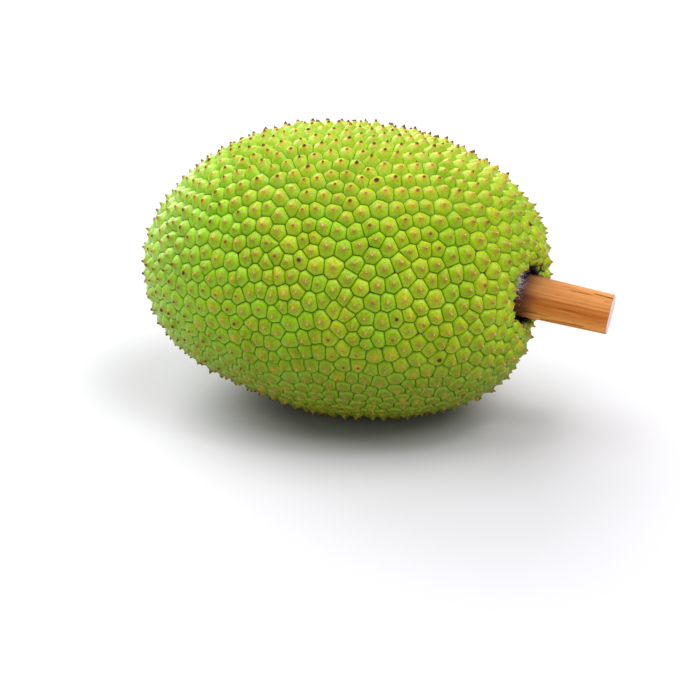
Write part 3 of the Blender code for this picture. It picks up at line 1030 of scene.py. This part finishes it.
def stem_material(settings):
    """Stem wood, peeled and dried.

    The eye gets long dull fibres from tan to brown, dark splits, wood that is paler and greyer above and
    lighter below as painted light, a foot darkened partly by a stain and partly by painted shade, and a pale
    sawn face.
    """
    material, tree, shader = new_material("peeled_stem_wood")
    grain, crack, cut = (
        add_node(tree, "ShaderNodeAttribute", {"attribute_name": name}).outputs[output]
        for name, output in (("grain", "Vector"), ("crack", "Fac"), ("cut", "Fac"))
    )
    along, _, up = add_node(tree, "ShaderNodeSeparateXYZ", inputs={"Vector": grain}).outputs

    # Wood fibres, finer than a tenth of a millimetre, are drawn in strands 0.9 mm wide and some 25 mm long,
    # and in wider bands. Their ends show on the sawn face.
    stretched = add_node(
        tree, "ShaderNodeMapping", {"vector_type": "POINT"}, {"Vector": grain, "Scale": (0.035, 1, 1)}
    ).outputs["Vector"]
    fibres, bands, ends = (
        add_node(
            tree,
            "ShaderNodeTexNoise",
            inputs={"Vector": vector, "Scale": 1 / size, "Detail": detail, "Roughness": roughness},
        ).outputs["Fac"]
        for vector, size, detail, roughness in (
            (stretched, 0.9 * MM, 5.0, 0.7),
            (stretched, 4.5 * MM, 2.0, 0.5),
            (grain, 0.5 * MM, 3.0, 0.5),
        )
    )
    centred = add_node(
        tree, "ShaderNodeMath", {"operation": "MULTIPLY_ADD"}, {0: bands, 1: 0.6, 2: -0.3}
    ).outputs[0]
    tone = add_node(tree, "ShaderNodeMath", {"operation": "ADD"}, {0: centred, 1: fibres}).outputs[0]
    ragged = add_node(
        tree, "ShaderNodeMath", {"operation": "MULTIPLY_ADD"}, {0: bands, 1: 9 * MM, 2: along}
    ).outputs[0]
    dark, wood, pale = settings.wood_dark, settings.wood, settings.wood_pale
    colour, face = (
        add_node(tree, "ShaderNodeValToRGB", inputs={"Fac": value}, stops=stops).outputs["Color"]
        for value, stops in (
            (tone, ((0.33, dark), (0.43, wood), (0.53, wood), (0.68, pale))),
            (ends, ((0.3, settings.cut_fibres), (0.6, settings.cut))),
        )
    )
    upper_side, painted_underside_light, foot = (
        add_node(
            tree,
            "ShaderNodeMapRange",
            {"interpolation_type": "SMOOTHSTEP"},
            {"Value": value, "From Min": start, "From Max": full, "To Min": 0.0, "To Max": strength},
        ).outputs["Result"]
        for value, start, full, strength in (
            # paler and greyer towards the top of the stem
            (up, 1 * MM, 8 * MM, 0.8),
            # painted light on the underside
            (up, 2 * MM, -4 * MM, 0.8),
            # the foot by the fruit: partly a stain, partly painted shade
            (ragged, 9 * MM, 0 * MM, 0.85),
        )
    )
    for mask, coat in (
        (upper_side, settings.wood_upper_side),
        (painted_underside_light, settings.wood_painted_underside_light),
        (crack, settings.split),
        (foot, settings.foot),
        (cut, face),
    ):
        colour = add_node(
            tree, "ShaderNodeMix", {"data_type": "RGBA"}, {0: mask, 6: colour, 7: coat}
        ).outputs[2]
    tree.links.new(colour, shader.inputs["Base Color"])
    bump = add_node(
        tree, "ShaderNodeBump", inputs={"Height": fibres, "Strength": 0.5, "Distance": 0.2 * MM}
    ).outputs["Normal"]
    tree.links.new(bump, shader.inputs["Normal"])
    shader.inputs["Roughness"].default_value = 0.55
    shader.inputs["IOR"].default_value = 1.25
    return material


class OBJECT_OT_breadfruit_stem(bpy.types.Operator):
    """Models the cut stem, with its ridges, its splits and its sawn end"""

    bl_idname = "breadfruit.stem"
    bl_label = "Stem"

    def execute(self, context):
        settings = context.scene.breadfruit_stem
        item = make_stem(settings)
        check_against_node(item, "stem", 1.5 * MM)
        finish_piece(item, stem_material(settings), ["stem"])
        return {"FINISHED"}


# The wool round the stem's foot


WOOL_SEED = 8
FIBRE_POINTS = 6
FIBRE_CURL = 0.45
FIBRE_THINNING = 0.7  # the share of its thickness that a fibre loses towards its end
TUFT_SHARE = 0.5  # of the fibres are in a tuft, and the rest are round the stem's foot
TUFT_START = (85 * MM, -25.5 * MM, 13.5 * MM)  # from the fruit's centre, on the hollow's upper front rim
TUFT_END = (89 * MM, -15.5 * MM, 8.0 * MM)  # beside the stem's foot
TUFT_CROWDING = 1.5  # above 1, more of the fibres are near the tuft's start
TUFT_SPREAD = 2.2 * MM
TUFT_WAY = (-0.5, -0.6, 0.5)
TUFT_LENGTHS = (0.6, 1.4)  # of a usual fibre's
FOOT_LENGTHS = (0.35, 0.85)
FOOT_PLACES = (-8, -4)  # along the stem from its start, in millimetres
FOOT_DEPTH = 3.5  # how far out from the stem they start, in millimetres
FOOT_ANGLE = 1.75  # the middle of them round the stem, in radians, and how they spread
FOOT_ANGLE_SPREAD = 0.65


def tuft_root(random):
    """Where a fibre of the tuft starts, from the hollow's rim down to the stem, and which way it grows."""
    share = random.uniform(0, 1) ** TUFT_CROWDING
    line = np.array([TUFT_START]) + share * (np.array(TUFT_END) - np.array(TUFT_START))
    place = unit(line + random.standard_normal((1, 3)) * TUFT_SPREAD)
    normal = rind_normals(place)[0]
    way = normal * random.uniform(0.2, 0.8) + np.array(TUFT_WAY) * random.uniform(0.2, 1.2)
    return rind_points(place)[0] + normal * random.uniform(1, 2) * MM, unit(way)


def foot_root(random, stem, turn):
    """The same for a fibre on the stem's foot."""
    angle = random.normal(FOOT_ANGLE, FOOT_ANGLE_SPREAD)
    along = random.uniform(*FOOT_PLACES) * MM
    radius = stem.end_radius + STEM_TAPER * (STEM_LENGTH_OUT - along) + random.uniform(0, FOOT_DEPTH) * MM
    out = np.array([0, math.cos(angle), math.sin(angle)])
    root = turn @ (out * radius + np.array([along, 0, 0])) + np.array(STEM_START)
    return root, turn @ unit(out * random.uniform(0.4, 1) + np.array([random.uniform(0, 0.2), 0, 0]))


def make_wool(settings, stem):
    """Short fibres round the stem's foot, each a thin tapered strand, joined in one mesh."""
    random = np.random.default_rng(WOOL_SEED)
    curve = bpy.data.curves.new("stem_wool", "CURVE")
    curve.dimensions = "3D"
    curve.bevel_depth = settings.thickness / 2
    curve.bevel_resolution = 0
    curve.use_fill_caps = True
    turn = np.array(stem_turn())
    steps = np.linspace(0, 1, FIBRE_POINTS)
    for _ in range(settings.fibre_count):
        if random.random() < TUFT_SHARE:
            root, way = tuft_root(random)
            length = settings.length * random.uniform(*TUFT_LENGTHS)
        else:
            root, way = foot_root(random, stem, turn)
            length = settings.length * random.uniform(*FOOT_LENGTHS)
        curl = FIBRE_CURL * random.standard_normal(3)
        line = root + length * (way * steps[:, None] + curl * steps[:, None] ** 2) + FRUIT_CENTRE
        strand = curve.splines.new("POLY")
        strand.points.add(len(steps) - 1)
        for point, place, share in zip(strand.points, line, steps):
            point.co = (*place, 1)
            point.radius = 1 - FIBRE_THINNING * share
    item = bpy.data.objects.new("stem_wool", curve)
    bpy.context.scene.collection.objects.link(item)
    choose(item)
    bpy.ops.object.convert(target="MESH")
    item = bpy.context.active_object
    item.data.name = "stem_wool"
    return item


def wool_material(settings):
    """Dry matted plant down, rough and with no shine: dusty violet at the front, darker towards the back,
    partly as painted shade in the hollow.
    """
    material, tree, shader = new_material("matted_down")
    place = add_node(tree, "ShaderNodeTexCoord").outputs["Object"]
    clumps = add_node(
        tree, "ShaderNodeTexNoise", inputs={"Vector": place, "Scale": 1 / (2.5 * MM), "Detail": 2.0}
    ).outputs["Fac"]
    back = add_node(tree, "ShaderNodeSeparateXYZ", inputs={"Vector": place}).outputs["Y"]
    # Darker towards the back: partly painted shade in the hollow
    clumps_and_painted_shade = add_node(
        tree, "ShaderNodeMath", {"operation": "MULTIPLY_ADD"}, {0: back, 1: -0.03 / MM, 2: clumps}
    ).outputs[0]
    colour = add_node(
        tree,
        "ShaderNodeValToRGB",
        inputs={"Fac": clumps_and_painted_shade},
        stops=((0.9, settings.dark), (1.0, settings.pale)),
    ).outputs["Color"]
    tree.links.new(colour, shader.inputs["Base Color"])
    shader.inputs["Roughness"].default_value = 0.9
    return material


class OBJECT_OT_breadfruit_wool(bpy.types.Operator):
    """Models the matted down round the stem's foot"""

    bl_idname = "breadfruit.wool"
    bl_label = "Wool"

    def execute(self, context):
        settings = context.scene.breadfruit_wool
        item = make_wool(settings, context.scene.breadfruit_stem)
        finish_piece(item, wool_material(settings))
        return {"FINISHED"}


# The stage


def make_floor(settings):
    deselect_all()
    bpy.ops.mesh.primitive_plane_add(size=settings.floor_size, location=(0, 0, 0))
    floor = bpy.context.active_object
    floor.name = "floor"
    material, _, shader = new_material("matt_white_paper")
    shader.inputs["Base Color"].default_value = (*settings.floor, 1)
    shader.inputs["Roughness"].default_value = 0.8
    shader.inputs["Specular IOR Level"].default_value = 0.2
    floor.data.materials.append(material)


def make_light(name, way, strength, spread):
    """A distant light from a direction. The wider it spreads, the softer its shadows."""
    bpy.ops.object.light_add(type="SUN", location=Vector(way).normalized())
    light = bpy.context.active_object
    light.name = name
    light.rotation_euler = Vector(way).to_track_quat("Z", "Y").to_euler()
    light.data.energy = strength
    light.data.angle = spread


def make_surroundings(settings):
    """White surroundings that light the fruit softly, and look white behind it."""
    world = bpy.data.worlds.new("studio")
    bpy.context.scene.world = world
    world.use_nodes = True
    tree = world.node_tree
    tree.nodes.clear()
    seen = add_node(tree, "ShaderNodeLightPath").outputs["Is Camera Ray"]
    strength = add_node(
        tree, "ShaderNodeMapRange", inputs={"Value": seen, "To Min": settings.sky, "To Max": 1.0}
    ).outputs["Result"]
    background = add_node(tree, "ShaderNodeBackground", inputs={"Color": (1, 1, 1, 1), "Strength": strength})
    output = tree.nodes.new("ShaderNodeOutputWorld")
    tree.links.new(background.outputs["Background"], output.inputs["Surface"])


def make_camera(settings):
    around, above = settings.azimuth, settings.elevation
    back = Vector(
        (math.sin(around) * math.cos(above), -math.cos(around) * math.cos(above), math.sin(above))
    )
    place = Vector(FRUIT_CENTRE) + back * settings.distance
    bpy.ops.object.camera_add(location=place)
    camera = bpy.context.active_object
    camera.name = "camera"
    camera.rotation_euler = (place - CAMERA_AIM).to_track_quat("Z", "Y").to_euler()
    camera.data.lens = settings.lens
    camera.data.sensor_width = CAMERA_SENSOR
    bpy.context.scene.camera = camera


class OBJECT_OT_breadfruit_stage(bpy.types.Operator):
    """Sets up the floor, the lights and the camera"""

    bl_idname = "breadfruit.stage"
    bl_label = "Stage"

    def execute(self, context):
        settings = context.scene.breadfruit_stage
        make_floor(settings)
        for name, way, strength, spread in (
            ("key_left", (-0.6, 0.0, 1.0), settings.key, 50),
            ("key_right", (0.6, 0.0, 1.0), settings.key, 50),
            ("back", (-0.62, 0.84, 0.56), settings.back, 50),
            ("glint", (0.45, -0.1, 1.0), settings.glint, 10),
        ):
            make_light(name, way, strength, math.radians(spread))
        make_surroundings(settings)
        make_camera(settings)
        context.scene.view_settings.view_transform = "Standard"
        return {"FINISHED"}


GROUPS = (
    ("breadfruit_rind", RindSettings, OBJECT_OT_breadfruit_rind),
    ("breadfruit_stem", StemSettings, OBJECT_OT_breadfruit_stem),
    ("breadfruit_wool", WoolSettings, OBJECT_OT_breadfruit_wool),
    ("breadfruit_stage", StageSettings, OBJECT_OT_breadfruit_stage),
)


class VIEW3D_PT_breadfruit(bpy.types.Panel):
    bl_idname = "VIEW3D_PT_breadfruit"
    bl_label = "Breadfruit"
    bl_space_type = "VIEW_3D"
    bl_region_type = "UI"
    bl_category = "Breadfruit"

    def draw(self, context):
        for name, group, operator in GROUPS:
            box = self.layout.box()
            box.operator(operator.bl_idname)
            for setting in group.__annotations__:
                box.prop(getattr(context.scene, name), setting)


def register():
    for name, group, operator in GROUPS:
        bpy.utils.register_class(group)
        bpy.utils.register_class(operator)
        setattr(bpy.types.Scene, name, PointerProperty(type=group))
    bpy.utils.register_class(VIEW3D_PT_breadfruit)


def unregister():
    bpy.utils.unregister_class(VIEW3D_PT_breadfruit)
    for name, group, operator in reversed(GROUPS):
        delattr(bpy.types.Scene, name)
        bpy.utils.unregister_class(operator)
        bpy.utils.unregister_class(group)


def main():
    register()
    bpy.ops.breadfruit.rind()
    bpy.ops.breadfruit.stem()
    bpy.ops.breadfruit.wool()
    bpy.ops.breadfruit.stage()


if __name__ == "__main__":
    main()
